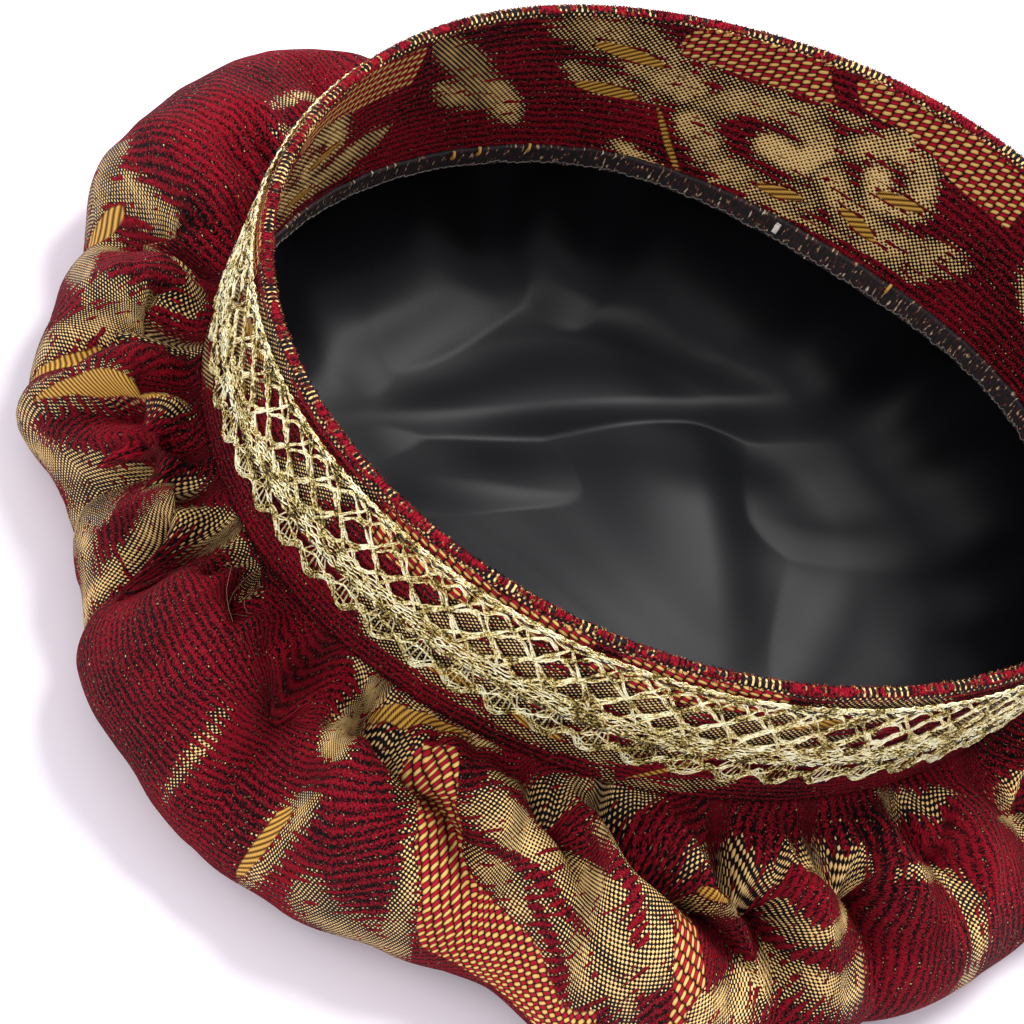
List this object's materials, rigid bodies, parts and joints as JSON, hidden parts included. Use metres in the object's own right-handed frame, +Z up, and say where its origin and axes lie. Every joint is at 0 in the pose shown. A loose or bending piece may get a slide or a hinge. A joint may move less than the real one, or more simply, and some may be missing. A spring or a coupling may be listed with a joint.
{
  "type": "flat cap",
  "caption": "Gathered flat cap with a stiffened band and a lace trim round it, lined, lying on its crown with the head opening up.",
  "frame": {"origin": "middle of the cap's outline on the surface that its crown lies on", "axes": "+Z up, out of the head opening; +X along the long way of the head opening; +Y across it"},
  "size_m": [0.2772, 0.273, 0.0931],
  "materials": {
    "figured_cloth": "ribbed chenille pile with woven gold and charcoal figures",
    "gold_lace": "openwork of shiny gold metal thread",
    "satin_lining": "smooth black satin"
  },
  "bodies": {
    "root": {"crown": "figured_cloth", "band": "figured_cloth", "lace_trim": "gold_lace", "lining": "satin_lining"}
  },
  "joints": []
}
